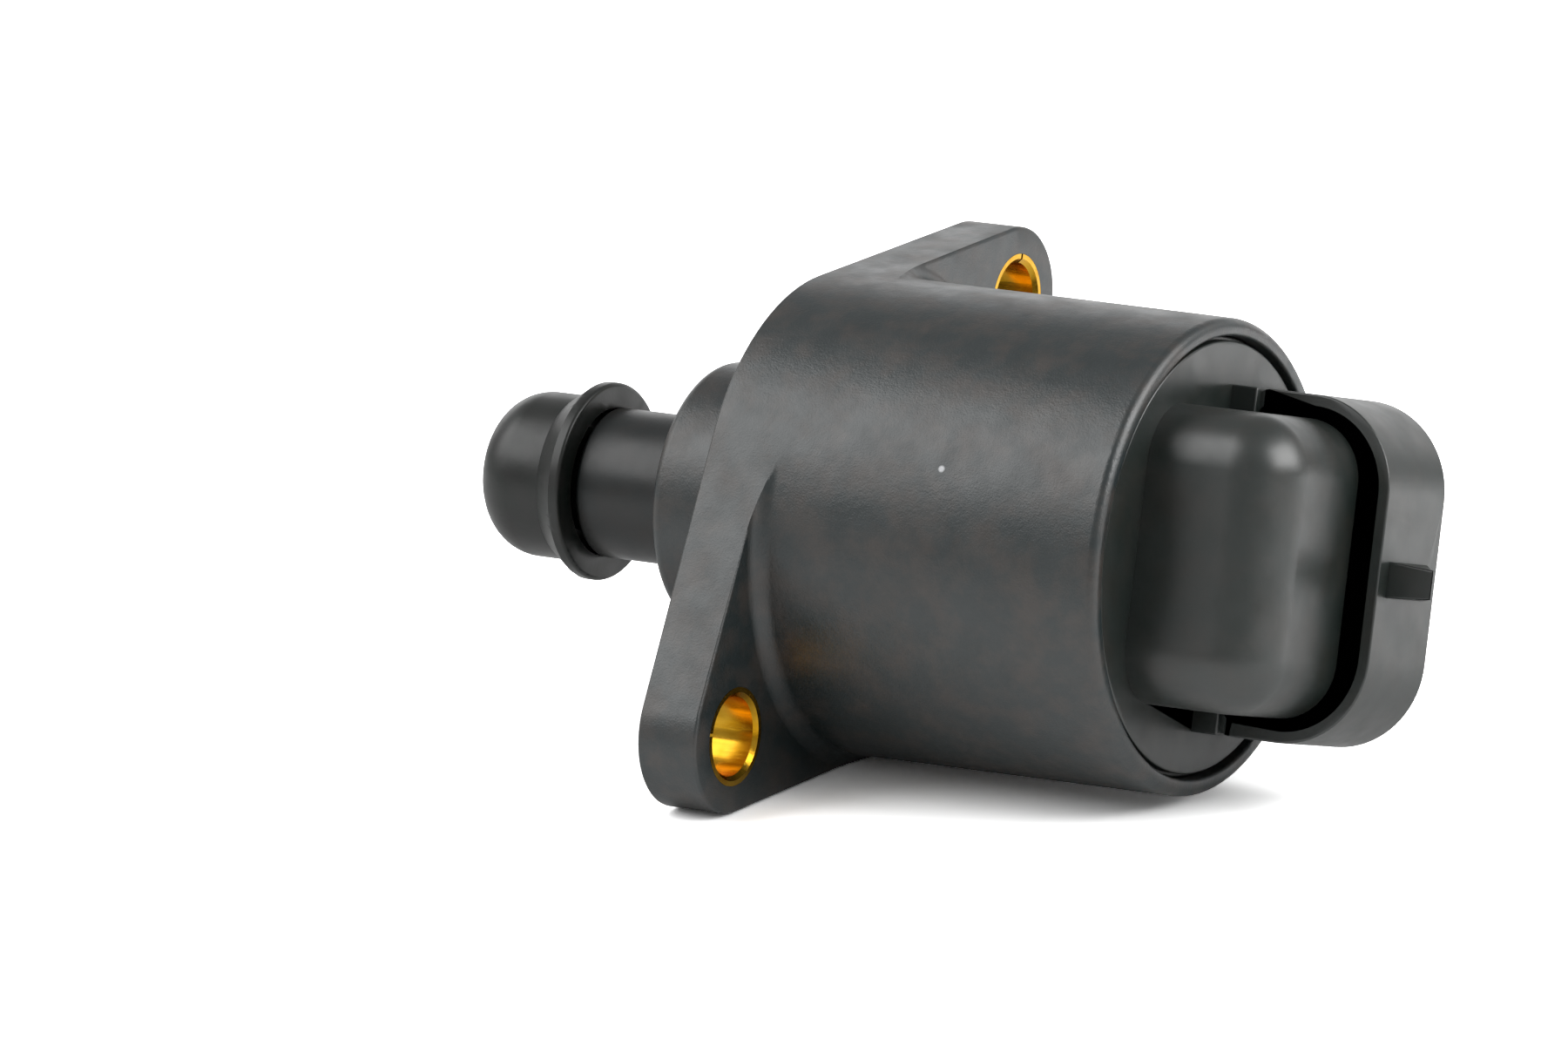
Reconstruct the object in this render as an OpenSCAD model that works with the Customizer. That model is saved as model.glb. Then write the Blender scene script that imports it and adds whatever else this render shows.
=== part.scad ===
// Idle air control valve: a stepper motor turns a nut, and the nut drives a valve head in and out.
// The origin is on the valve's axis, in the flange's mounting face. +X runs towards the connector
// end, the valve head is at -X, the connector's mouth opens towards +Y, and +Z is up.

/* [Housing] */
// Outer diameter of the body where it leaves the flange
body_d = 28.8; // [26:0.1:32]
// How much narrower the body is at its open rim
body_draft = 0.3; // [0.1:0.05:0.5]
// Distance from the mounting face to the open rim
body_l = 26.9; // [24:0.1:30]
// Wall of the body at its open rim
rim_wall = 1.05; // [0.9:0.05:1.4]
// Thickness of the wall in front of the motor, measured from the mounting face
front_wall = 2.6; // [2.2:0.1:3]
// Radius of the rounded edge of the rim
rim_round = 0.6; // [0.2:0.05:0.8]
// Radius of the fillet where the body meets the back of the flange
root_fillet = 1.1; // [0.5:0.1:1.6]

/* [Flange] */
// Thickness of the flange
flange_t = 4.0; // [3:0.1:5]
// Diameter of the circle through both fixing holes
hole_pcd = 39.0; // [38:0.1:44]
// Angle of the line through the fixing holes, up from the Y axis
hole_angle = 45; // [35:1:55]
// Radius of the rounded end of each ear
ear_r = 4.6; // [4.2:0.1:6]
// Inner diameter of the fixing bushings
bushing_id = 4.8; // [4.4:0.1:5]
// Outer diameter of the fixing bushings
bushing_od = 5.9; // [5.6:0.1:6.6]
// Width of the seam in each rolled bushing
seam_w = 0.18; // [0.1:0.02:0.4]

/* [Spigot] */
// Diameter of the spigot in front of the flange
spigot_d = 16.4; // [15.6:0.1:18]
// Length of the spigot
spigot_l = 7.2; // [6:0.1:9]
// Radius of the spigot's front edge
spigot_round = 0.8; // [0.4:0.1:1.4]
// Outer diameter of the guide sleeve
sleeve_d = 9.14; // [8.6:0.02:9.6]
// Distance from the spigot's front face to the sleeve's front end
sleeve_reach = 7.45; // [6:0.05:9]
// Diameter of the collar that holds the sleeve
collar_d = 11.2; // [10.4:0.1:12]
// Thickness of the sleeve's collar
collar_t = 1.0; // [0.8:0.1:1.4]

/* [Valve head] */
// Diameter of the head's body
head_d = 10.1; // [9.4:0.1:11]
// Diameter of the lip at the back of the head
lip_d = 12.1; // [11:0.1:12.6]
// Length of the head from its tip to the back of the lip
head_l = 7.45; // [6.6:0.05:8.5]
// Width of the lip's edge
lip_w = 0.7; // [0.5:0.05:1.2]
// Length of the slope from the head's body up to the lip
lip_slope = 1.45; // [1:0.05:1.6]
// Radius of the head's front corner
head_round = 3.0; // [2:0.1:3.4]
// Radius of the dome on the head's front
dome_r = 20; // [12:1:40]
// Gap between the lip and the guide sleeve when the valve is drawn back
rest_gap = 0.25; // [0.1:0.05:1.5]
// Travel of the valve head
stroke = 8; // [5:0.5:8]

/* [Plunger] */
// Diameter of the part of the plunger that slides in the sleeve
rod_d = 4.8; // [4.4:0.1:5.2]
// Width across the two flats that stop the plunger turning
rod_flats = 3.8; // [3.4:0.1:4.2]
// Diameter of the plunger's threaded end
screw_d = 3.0; // [2.6:0.1:3.2]
// Diameter of the plunger's end inside the head
tang_d = 3.2; // [2.8:0.1:3.6]
// Length of the plunger's end inside the head
tang_l = 4.6; // [4:0.1:5]
// Running clearance round the plunger and the screw
run_gap = 0.06; // [0.03:0.01:0.1]

/* [Bearings] */
// Bore of the front ball bearing
bearing_id = 6; // [5.6:0.1:6.4]
// Outer diameter of the front ball bearing
bearing_od = 13; // [12.8:0.1:13.2]
// Width of the front ball bearing
bearing_w = 5; // [4.6:0.1:5]
// Number of balls
ball_count = 7; // [6:1:8]
// Diameter of a ball
ball_d = 1.86; // [1.6:0.02:1.9]
// Diameter of the rotor's rear journal
journal_d = 5; // [4.6:0.1:5.4]
// Outer diameter of the rear bush
bush_d = 8; // [7.6:0.1:8.4]
// Length of the rear bush
bush_l = 2.9; // [2.4:0.1:2.9]

/* [Motor] */
// Thickness of the front plate that holds the bearing in
front_plate_t = 0.5; // [0.4:0.05:0.7]
// Thickness of the stator's sheet steel
sheet_t = 0.8; // [0.6:0.05:0.9]
// Room behind the stator for the terminals' feet and the end moulding's skirt
skirt_l = 4.35; // [4.2:0.05:4.8]
// Number of claws on each stator plate
claw_count = 6; // [5:1:6]
// Gap between the magnet and the claws
air_gap = 0.35; // [0.25:0.05:0.5]
// Gap between a claw's tip and the plate that it points at
claw_gap = 1.0; // [0.8:0.1:1.6]
// Width of a claw at its root
claw_root = 3.1; // [2.6:0.1:3.3]
// Width of a claw at its tip
claw_tip = 1.6; // [1.2:0.1:2]
// Radial room for each coil, between the claws and the cup's wall
coil_depth = 4.99; // [4.5:0.01:5.2]
// Wall of the magnet
magnet_wall = 1.6; // [1.4:0.1:1.8]
// Wall of the bobbins
bobbin_t = 0.6; // [0.5:0.05:0.8]
// Depth of the bobbin's rim that the wire leaves free
wire_margin = 0.75; // [0.4:0.05:1]

/* [Connector end] */
// Thickness of the end disc
disc_t = 3.15; // [3:0.05:3.4]
// Distance from the rim back to the end disc's face
disc_recess = 0.3; // [0.1:0.05:0.5]
// Width of the groove between the end disc and the body
groove_w = 0.24; // [0.16:0.02:0.5]
// Depth of that groove
groove_depth = 0.6; // [0.4:0.1:0.8]
// Distance that the pod stands out from the rim
pod_out = 8.5; // [8.3:0.1:9.5]
// Distance from the end disc's edge in to the pod's rounded edges
pod_inset = 2.05; // [1.8:0.05:3]
// Radius of the pod's edges and corners
pod_round = 3.6; // [2.4:0.1:3.8]
// Gap between the pod's outer end and the shroud
moat_end = 1.3; // [1:0.1:1.8]
// Wall of the shroud
shroud_wall = 0.8; // [0.7:0.05:0.9]
// Radius of the shroud's two outer corners
shroud_round = 5.5; // [4.5:0.1:6]
// Gap between the pod's upper and lower sides and the shroud
moat_w = 0.65; // [0.5:0.05:1]
// Distance from the axis plane to the shroud's near edge
shroud_near = 1.0; // [0.8:0.1:1.2]
// Distance from the axis plane to the shroud's mouth
shroud_far = 8.3; // [8.1:0.1:9.5]
// Depth of the moulding recess between the pod and the shroud
recess_depth = 2.5; // [2:0.1:2.7]
// Distance that the two webs between the shroud and the disc stand out from the disc
web_out = 1.7; // [1.2:0.1:2]
// Distance that the webs reach past the shroud's near edge
web_reach = 0.55; // [0.3:0.05:2]
// Width of the locking lug at its root
lug_w = 2.15; // [1.8:0.05:3]
// Width of the locking lug at its tip
lug_tip_w = 1.75; // [1.2:0.05:1.8]
// Height of the locking lug
lug_h = 2.9; // [2:0.1:3.2]

/* [Terminals] */
// Distance from the outer terminals' middles to the socket's wall
pin_margin = 2.2; // [1.8:0.1:2.6]
// Width of a terminal blade
blade_w = 1.5; // [1.2:0.1:1.6]
// Thickness of a terminal blade
blade_t = 0.64; // [0.5:0.02:0.8]
// Distance from the shroud's mouth back to the terminal tips
blade_recess = 4.4; // [4.2:0.1:5]
// Depth of the socket from the shroud's mouth to its floor
socket_depth = 10.9; // [10.5:0.1:11.2]

/* [Hidden] */
$fn = 72;
eps = 0.01;

black_plastic = "#232427";
brass = "#d8a52c";
steel = "#a9adb2";
dark_steel = "#6d7176";
copper = "#b4622d";
natural_nylon = "#d9d3c3";

// Small clearances between pieces that are fixed to each other
seat_gap = 0.02;
bore_gap = 0.06;

// Flange
body_r = body_d / 2;
rim_r = body_r - body_draft / 2;
bore_r = rim_r - rim_wall;
spigot_r = spigot_d / 2;
ear_y = hole_pcd / 2 * cos(hole_angle);
ear_z = hole_pcd / 2 * sin(hole_angle);
// Angle from the line through the holes to the point where an ear's side leaves the body
side_angle = acos((body_r - ear_r) / (hole_pcd / 2));

// Places along the axis, from the valve head to the connector
spigot_x = -spigot_l;
sleeve_x = spigot_x - sleeve_reach;
lip_x = sleeve_x - rest_gap;
tip_x = lip_x - head_l;
// Centre of the head's rounded corner, and the radius where the dome meets it
corner_y = tip_x + dome_r - sqrt(pow(dome_r - head_round, 2) - pow(head_d / 2 - head_round, 2));
corner_x = (head_d / 2 - head_round) * dome_r / (dome_r - head_round);
bearing_x = front_wall - bearing_w;
collar_x = bearing_x - collar_t;
plate_x = front_wall + front_plate_t;
disc_x = body_l - disc_recess;
disc_in = disc_x - disc_t;
stack_end = disc_in - skirt_l;
mid_x = (plate_x + stack_end) / 2;
coil_room = mid_x - plate_x - 2 * sheet_t;
coil_1_x = plate_x + sheet_t;
coil_2_x = mid_x + sheet_t;

// Ball bearing
ball_track = (bearing_id + bearing_od) / 4;
ball_x = bearing_x + bearing_w / 2;
race_groove = ball_d / 2 + 0.07;
inner_race_r = ball_track - 0.75;
outer_race_r = ball_track + 0.75;
cage_t = 0.8;
cage_w = 3.2;

// Stator, whose second pair of claw rings stands a quarter of a pole pitch on
claw_turn = 22.5;
half_claw = 180 / claw_count;
stator_r = bore_r - bore_gap;
claw_r = stator_r - 2 * sheet_t - coil_depth;
claw_l = coil_room - claw_gap;
plate_bore = claw_r + 0.2;
bobbin_bore = claw_r + sheet_t + 0.1;
bobbin_r = stator_r - sheet_t - 0.15;
bobbin_gap = 0.05;
winding_r = bobbin_r - wire_margin;

// Plunger and rotor
sleeve_r = sleeve_d / 2;
nut_l = 7;
nut_r = 2.8;
nut_x = plate_x + 0.5;
magnet_r = claw_r - air_gap;
hub_r = magnet_r - magnet_wall - seat_gap;
hub_bore = screw_d / 2 + 0.4;
hub_end = stack_end + 0.1;
hub_shoulder = 3.8;
hub_flange_r = magnet_r - 0.2;
hub_flange_t = 0.6;
rod_end = bearing_x - 0.6;
screw_end = nut_x + nut_l + stroke;
magnet_x = plate_x + 1;
magnet_l = stack_end - magnet_x - 1;

// Rear bush and the springy pieces in front of it
bush_x = disc_in - bush_l + 0.4;
washer_t = 0.4;
washer_x = hub_end + 0.05;
spring_x = washer_x + washer_t + 0.05;
spring_t = 0.25;
boss_r = bush_d / 2 + 1.6;
boss_x = hub_end + 0.7;

// Seal in the edge of the end disc
disc_r = bore_r - bore_gap;
skirt_r = disc_r - 1;
seal_r = 0.55;
seal_x = disc_in + 1.45;
seal_mid = disc_r - seal_r;
seal_room = 0.1;

// Connector
pod_x = body_l + pod_out;
pod_half = (disc_r - pod_inset - pod_round) * sqrt(0.5) + pod_round;
pod_side = pod_half;
pod_end_x = pod_x - pod_round;
pod_near_y = pod_round - pod_side;
pod_top_z = pod_half - pod_round;
shroud_in = body_l + 0.2;
shroud_x = pod_x + moat_end + shroud_wall;
shroud_half = pod_half + moat_w + shroud_wall;
shroud_heel = 2;
shroud_floor = 1.2;
shroud_base_wall = 1.0;
web_x = disc_x + web_out;
web_near = shroud_near - web_reach;
neck_r = disc_r - groove_w - 0.1;
mouth_floor = shroud_near + recess_depth + shroud_floor;
socket_wall = 1.3;
pod_side_wall = 1.4;
socket_in = shroud_in + shroud_base_wall + 0.8;
socket_corner = 2.4;
socket_mid = (socket_in + pod_x - socket_wall) / 2;
lug_near = shroud_near + 1.1;
lug_flat = 0.2;
lug_far = shroud_far - 1.2;
lug_root = 0.4;

// Terminals and coil pins
pin_pitch = (pod_half - socket_wall - pin_margin) / 1.5;
tip_y = shroud_far - blade_recess;
blade_y = pod_side_wall - pod_side;
foot_x = stack_end + 1.8;
pin_r = 0.3;
pin_tail = 1;
blade_taper = 0.8;
blade_point = 0.4;
block_gap = 0.1;
block_half = 1.5 * pin_pitch + 0.7;
block_t = 1.1;
// The block lies between the claws and the end moulding's skirt, with the pins in its middle
block_top = -(claw_r + sheet_t + 0.3);
block_low = -sqrt(pow(skirt_r - 0.15, 2) - pow(block_half, 2));
pin_y = (block_top + block_low) / 2;
foot_end = pin_y - 0.8;

// A profile of radius and X place, turned round the axis
module turned()
    rotate([0, 90, 0])
        rotate_extrude()
            children();

// A profile of Y and Z, pushed along X from one place to another
module along_x(from, to)
    translate([from, 0, 0])
        rotate([90, 0, 90])
            linear_extrude(to - from)
                children();

// A profile of X and Z, pushed along Y from one place to another
module along_y(from, to)
    translate([0, to, 0])
        rotate([90, 0, 0])
            linear_extrude(to - from)
                children();

// A profile of X and Y, pushed along Z, half to each side of a height
module across_z(height, width)
    translate([0, 0, height - width / 2])
        linear_extrude(width)
            children();

module band(r_in, r_out, from, to)
    translate([r_in, from])
        square([r_out - r_in, to - from]);

// What a round edge takes off a corner at the origin whose solid lies at -x and +y
module edge_cut(r)
    difference() {
        translate([-r, -1])
            square([r + 1, r + 1]);
        translate([-r, r])
            circle(r);
    }

// A box of X and Z with one radius at its inner corners and another at its outer ones
module oval(x_in, x_out, half, r_in, r_out)
    union() {
        for (side = [-1, 1]) {
            translate([x_in + r_in, side * (half - r_in)])
                circle(r_in);
            translate([x_out - r_out, side * (half - r_out)])
                circle(r_out);
        }
        translate([x_in + r_in, -half])
            square([x_out - r_out - x_in - r_in, 2 * half]);
        translate([x_in, -half + r_in])
            square([r_in + eps, 2 * (half - r_in)]);
        translate([x_out - r_out - eps, -half + r_out])
            square([r_out + eps, 2 * (half - r_out)]);
    }

// Flange seen along the axis: the body's circle, two ears and the straight sides between them
module flange_outline() {
    circle(body_r);
    rotate(hole_angle)
        for (end = [0, 180])
            rotate(end) {
                translate([hole_pcd / 2, 0])
                    circle(ear_r);
                polygon([[0, 0],
                    body_r * [cos(side_angle), sin(side_angle)],
                    [hole_pcd / 2, 0] + ear_r * [cos(side_angle), sin(side_angle)],
                    [hole_pcd / 2, 0] + ear_r * [cos(side_angle), -sin(side_angle)],
                    body_r * [cos(side_angle), -sin(side_angle)]]);
            }
}

module housing_outline()
    difference() {
        polygon([[0, spigot_x], [spigot_r, spigot_x], [spigot_r, flange_t / 2],
            [body_r, flange_t / 2], [rim_r, body_l], [0, body_l]]);
        translate([spigot_r, spigot_x])
            edge_cut(spigot_round);
        translate([rim_r, body_l])
            mirror([0, 1])
                edge_cut(rim_round);
    }

module housing_bores() {
    band(0, bore_r, front_wall, body_l + 1);
    band(0, bearing_od / 2 + seat_gap, bearing_x, front_wall + eps);
    band(0, collar_d / 2 + seat_gap, collar_x, bearing_x + eps);
    band(0, sleeve_r + seat_gap, spigot_x - 1, collar_x + eps);
}

module housing()
    color(black_plastic)
        difference() {
            union() {
                turned()
                    housing_outline();
                along_x(0, flange_t)
                    flange_outline();
                intersection() {
                    turned()
                        translate([body_r - 0.1, flange_t - eps])
                            difference() {
                                square(root_fillet + 0.1);
                                translate([root_fillet + 0.1, root_fillet])
                                    circle(root_fillet);
                            }
                    along_x(0, flange_t + root_fillet)
                        flange_outline();
                }
            }
            turned()
                housing_bores();
            for (side = [-1, 1])
                translate([-1, side * ear_y, side * ear_z])
                    rotate([0, 90, 0])
                        cylinder(d = bushing_od + 2 * seat_gap, h = flange_t + 2);
        }

// A strip of brass rolled into a tube, with its seam left open a little
module bushing(side, seam_angle)
    color(brass)
        translate([0, side * ear_y, side * ear_z])
            difference() {
                turned()
                    difference() {
                        band(bushing_id / 2, bushing_od / 2, 0, flange_t);
                        for (end = [0, 1])
                            translate([0, end * flange_t])
                                mirror([0, end])
                                    polygon([[0, -1], [bushing_id / 2 + 0.25 + 1, -1],
                                        [bushing_id / 2, 0.25], [0, 0.25]]);
                    }
                rotate([seam_angle, 0, 0])
                    translate([-1, 0, -seam_w / 2])
                        cube([flange_t + 2, bushing_od, seam_w]);
            }

module rod_outline(extra)
    intersection() {
        circle(rod_d / 2 + extra);
        square([rod_d + 1, rod_flats + 2 * extra], center = true);
    }

module guide_sleeve()
    color(black_plastic)
        difference() {
            turned()
                difference() {
                    union() {
                        band(0, sleeve_r, sleeve_x, collar_x + eps);
                        band(0, collar_d / 2, collar_x, bearing_x);
                    }
                    translate([sleeve_r, sleeve_x])
                        edge_cut(0.3);
                }
            along_x(sleeve_x - 1, bearing_x + 1)
                rod_outline(run_gap);
        }

// The dome runs smoothly into the rounded front corner
module head_outline()
    union() {
        intersection() {
            translate([0, tip_x + dome_r])
                circle(dome_r);
            band(0, corner_x, tip_x - 1, corner_y);
        }
        intersection() {
            translate([head_d / 2 - head_round, corner_y])
                circle(head_round);
            band(head_d / 2 - head_round, head_d / 2 + 1, tip_x - 1, corner_y);
        }
        polygon([[0, corner_y - eps], [head_d / 2, corner_y - eps],
            [head_d / 2, lip_x - lip_w - lip_slope], [lip_d / 2, lip_x - lip_w],
            [lip_d / 2, lip_x], [0, lip_x]]);
    }

module valve_head()
    color(black_plastic)
        turned()
            difference() {
                head_outline();
                translate([lip_d / 2, lip_x])
                    mirror([0, 1])
                        edge_cut(0.25);
                band(head_d / 2 - 1.9, head_d / 2 - 0.55, lip_x - 2.4, lip_x + 1);
                band(0, tang_d / 2 + seat_gap, lip_x - tang_l - seat_gap, lip_x + 1);
            }

module lead_screw()
    color(steel)
        union() {
            turned()
                difference() {
                    union() {
                        band(0, tang_d / 2, lip_x - tang_l, lip_x + eps);
                        band(0, screw_d / 2, rod_end - eps, screw_end);
                    }
                    translate([screw_d / 2, screw_end])
                        mirror([0, 1])
                            edge_cut(0.4);
                }
            along_x(lip_x, rod_end)
                rod_outline(0);
        }

module bearing_outer_race()
    color(steel)
        turned()
            difference() {
                band(outer_race_r, bearing_od / 2, bearing_x, front_wall);
                translate([ball_track, ball_x])
                    circle(race_groove);
                for (end = [0, 1])
                    translate([bearing_od / 2, end == 0 ? bearing_x : front_wall])
                        mirror([0, end])
                            edge_cut(0.3);
            }

module bearing_inner_race()
    color(steel)
        turned()
            difference() {
                band(bearing_id / 2, inner_race_r, bearing_x, front_wall);
                translate([ball_track, ball_x])
                    circle(race_groove);
            }

module bearing_balls()
    color("#d5d8dc")
        for (i = [0:ball_count - 1])
            rotate([i * 360 / ball_count, 0, 0])
                translate([ball_x, ball_track, 0])
                    sphere(d = ball_d);

module bearing_cage()
    color(brass)
        difference() {
            turned()
                band(ball_track - cage_t / 2, ball_track + cage_t / 2,
                    ball_x - cage_w / 2, ball_x + cage_w / 2);
            for (i = [0:ball_count - 1])
                rotate([i * 360 / ball_count, 0, 0])
                    translate([ball_x, ball_track - cage_t, 0])
                        rotate([-90, 0, 0])
                            cylinder(d = ball_d + 0.12, h = 2 * cage_t);
        }

module front_plate()
    color(dark_steel)
        turned()
            band(inner_race_r + 0.6, stator_r, front_wall, plate_x);

// Claws round the rotor, bent from the edge of a plate whose inner face is at root_x
module claws(root_x, direction, turn)
    intersection() {
        turned()
            band(claw_r, claw_r + sheet_t, root_x - claw_l - 1, root_x + claw_l + 1);
        for (i = [0:claw_count - 1])
            rotate([turn + i * 360 / claw_count, 0, 0])
                translate([root_x, 0, claw_r - 1])
                    linear_extrude(sheet_t + 2)
                        polygon([[-direction * sheet_t / 2, -claw_root / 2],
                            [direction * claw_l, -claw_tip / 2],
                            [direction * claw_l, claw_tip / 2],
                            [-direction * sheet_t / 2, claw_root / 2]]);
    }

module stator_cup(plate_from, open_to, turn)
    union() {
        direction = open_to > plate_from ? 1 : -1;
        inner_face = plate_from + direction * sheet_t;
        turned() {
            band(plate_bore, stator_r, min(plate_from, inner_face), max(plate_from, inner_face));
            band(stator_r - sheet_t, stator_r, min(plate_from, open_to), max(plate_from, open_to));
        }
        claws(inner_face, direction, turn);
    }

module stator_plate(from, direction, turn)
    union() {
        turned()
            band(plate_bore, stator_r, from, from + sheet_t);
        claws(direction > 0 ? from + sheet_t : from, direction, turn);
    }

module stator_cup_front()
    color(steel)
        stator_cup(plate_x, mid_x - sheet_t, claw_turn);

module stator_plate_front()
    color(steel)
        stator_plate(mid_x - sheet_t, -1, claw_turn + half_claw);

module stator_plate_rear()
    color(steel)
        stator_plate(mid_x, 1, claw_turn + half_claw / 2);

module stator_cup_rear()
    color(steel)
        difference() {
            stator_cup(stack_end, mid_x + sheet_t, claw_turn + half_claw * 1.5);
            translate([stack_end - sheet_t - 1, block_low - block_gap, -block_half - block_gap])
                cube([sheet_t + 2, block_top - block_low + 2 * block_gap, 2 * (block_half + block_gap)]);
        }

module bobbin(from)
    turned() {
        band(bobbin_bore, bobbin_bore + bobbin_t, from + bobbin_gap, from + coil_room - bobbin_gap);
        band(bobbin_bore, bobbin_r, from + bobbin_gap, from + bobbin_gap + bobbin_t);
        band(bobbin_bore, bobbin_r, from + coil_room - bobbin_gap - bobbin_t, from + coil_room - bobbin_gap);
    }

module bobbin_front()
    color(natural_nylon)
        bobbin(coil_1_x);

module bobbin_rear()
    color(natural_nylon)
        difference() {
            union() {
                bobbin(coil_2_x);
                translate([coil_2_x + coil_room - bobbin_gap - bobbin_t / 2, block_low, -block_half])
                    cube([bobbin_gap + bobbin_t / 2 + sheet_t + block_t,
                        block_top - block_low, 2 * block_half]);
            }
            coil_pin_row(pin_r + seat_gap);
        }

module winding(from)
    turned()
        difference() {
            band(bobbin_bore + bobbin_t + seat_gap, winding_r,
                from + bobbin_gap + bobbin_t + seat_gap,
                from + coil_room - bobbin_gap - bobbin_t - seat_gap);
            for (end = [0, 1])
                translate([winding_r, end == 0 ? from + bobbin_gap + bobbin_t + seat_gap
                    : from + coil_room - bobbin_gap - bobbin_t - seat_gap])
                    mirror([0, end])
                        edge_cut(0.6);
        }

module winding_front()
    color(copper)
        winding(coil_1_x);

module winding_rear()
    color(copper)
        winding(coil_2_x);

module coil_pin_row(r)
    for (i = [-1.5:1:1.5])
        translate([stack_end - sheet_t, pin_y, i * pin_pitch])
            rotate([0, 90, 0])
                cylinder(r = r, h = foot_x + blade_t + pin_tail - stack_end + sheet_t);

module coil_pins()
    color(steel)
        coil_pin_row(pin_r);

module rotor_hub()
    color(natural_nylon)
        turned()
            difference() {
                union() {
                    band(hub_bore, bearing_id / 2 - seat_gap, bearing_x + 0.1, front_wall + eps);
                    band(hub_bore, hub_shoulder, front_wall, magnet_x - hub_flange_t + eps);
                    band(hub_bore, hub_flange_r, magnet_x - hub_flange_t, magnet_x);
                    band(hub_bore, hub_r, magnet_x - eps, hub_end);
                    band(hub_bore, journal_d / 2, hub_end - eps, bush_x + bush_l - 0.4);
                }
                band(0, nut_r + seat_gap, nut_x - seat_gap, nut_x + nut_l + seat_gap);
            }

module rotor_nut()
    color(brass)
        turned()
            difference() {
                band(screw_d / 2 + run_gap, nut_r, nut_x, nut_x + nut_l);
                for (i = [0:2])
                    translate([nut_r, nut_x + nut_l * (0.2 + 0.3 * i)])
                        circle(0.35);
            }

module rotor_magnet()
    color("#3a3d40")
        turned()
            difference() {
                band(magnet_r - magnet_wall, magnet_r, magnet_x, magnet_x + magnet_l);
                for (end = [0, 1])
                    translate([magnet_r, magnet_x + end * magnet_l])
                        mirror([0, end])
                            edge_cut(0.3);
            }

module thrust_washer()
    color(natural_nylon)
        turned()
            band(journal_d / 2 + run_gap, hub_r - 0.2, washer_x, washer_x + washer_t);

// A coned steel washer that keeps the rotor against its front bearing
module disc_spring()
    color(dark_steel)
        turned()
            polygon([[hub_r - 0.3, spring_x], [hub_r - 0.3, spring_x + spring_t],
                [journal_d / 2 + 0.2, bush_x - 0.02], [journal_d / 2 + 0.2, bush_x - 0.02 - spring_t]]);

module rear_bush()
    color("#9c7a3c")
        turned()
            band(journal_d / 2 + run_gap, bush_d / 2, bush_x, bush_x + bush_l);

module cap_seal()
    color("#2b2b2b")
        turned()
            translate([seal_mid, seal_x])
                circle(seal_r);

module disc_outline()
    difference() {
        union() {
            band(0, disc_r, disc_in, disc_x);
            band(skirt_r, disc_r, stack_end, disc_in + eps);
            band(0, boss_r, boss_x, disc_in + eps);
        }
        band(0, bush_d / 2 + seat_gap, bush_x, bush_x + bush_l + seat_gap);
        band(0, hub_r, boss_x - 1, bush_x + eps);
        band(disc_r - groove_w, disc_r + 1, disc_x - groove_depth, disc_x + 1);
        translate([seal_mid - seal_r - seal_room / 2, seal_x - seal_r - seal_room])
            square([3, 2 * (seal_r + seal_room)]);
    }

// A box of two coordinates from one place along to another, with its two far corners rounded
module pod_section(across, along, half, r)
    union() {
        for (side = [-1, 1])
            translate([along - r, side * (half - r)])
                circle(r);
        translate([across, -half])
            square([along - r - across, 2 * half]);
        translate([across, -half + r])
            square([along - across, 2 * (half - r)]);
    }

// The pod over the terminals' bends, with rounded edges that meet in a ball at each outer corner
module pod()
    union() {
        for (side = [-1, 1])
            translate([pod_end_x, pod_near_y, side * pod_top_z])
                sphere(pod_round);
        translate([pod_end_x, pod_near_y, -pod_top_z])
            cylinder(r = pod_round, h = 2 * pod_top_z);
        along_x(disc_x - 1, pod_end_x)
            mirror([1, 0])
                pod_section(-mouth_floor, pod_side, pod_half, pod_round);
        along_y(pod_near_y, mouth_floor)
            pod_section(disc_x - 1, pod_x, pod_half, pod_round);
    }

module shroud_outline()
    oval(shroud_in, shroud_x, shroud_half, shroud_heel, shroud_round);

module shroud_room()
    oval(shroud_in + shroud_base_wall, shroud_x - shroud_wall, shroud_half - shroud_wall,
        shroud_heel - shroud_wall, shroud_round - shroud_wall);

// A latch hooks behind the lug's tall near face after riding up its slope from the mouth
module lug()
    intersection() {
        across_z(0, lug_w)
            polygon([[shroud_x - lug_root, lug_near], [shroud_x + lug_h, lug_near],
                [shroud_x + lug_h, lug_near + lug_flat], [shroud_x, lug_far],
                [shroud_x - lug_root, lug_far]]);
        along_y(lug_near - 1, lug_far + 1)
            polygon([[shroud_x - lug_root - eps, -lug_w / 2], [shroud_x, -lug_w / 2],
                [shroud_x + lug_h, -lug_tip_w / 2], [shroud_x + lug_h, lug_tip_w / 2],
                [shroud_x, lug_w / 2], [shroud_x - lug_root - eps, lug_w / 2]]);
    }

module shroud()
    difference() {
        union() {
            along_y(shroud_near, shroud_far)
                shroud_outline();
            intersection() {
                along_y(web_near, neck_r)
                    translate([disc_x - 1, -shroud_half])
                        square([web_x - disc_x + 1, 2 * shroud_half]);
                along_x(disc_x - 1, web_x)
                    circle(neck_r);
            }
            lug();
        }
        along_y(web_near - 1, shroud_near + recess_depth)
            intersection() {
                shroud_room();
                translate([web_x, -shroud_half])
                    square([shroud_x, 2 * shroud_half]);
            }
    }

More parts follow.
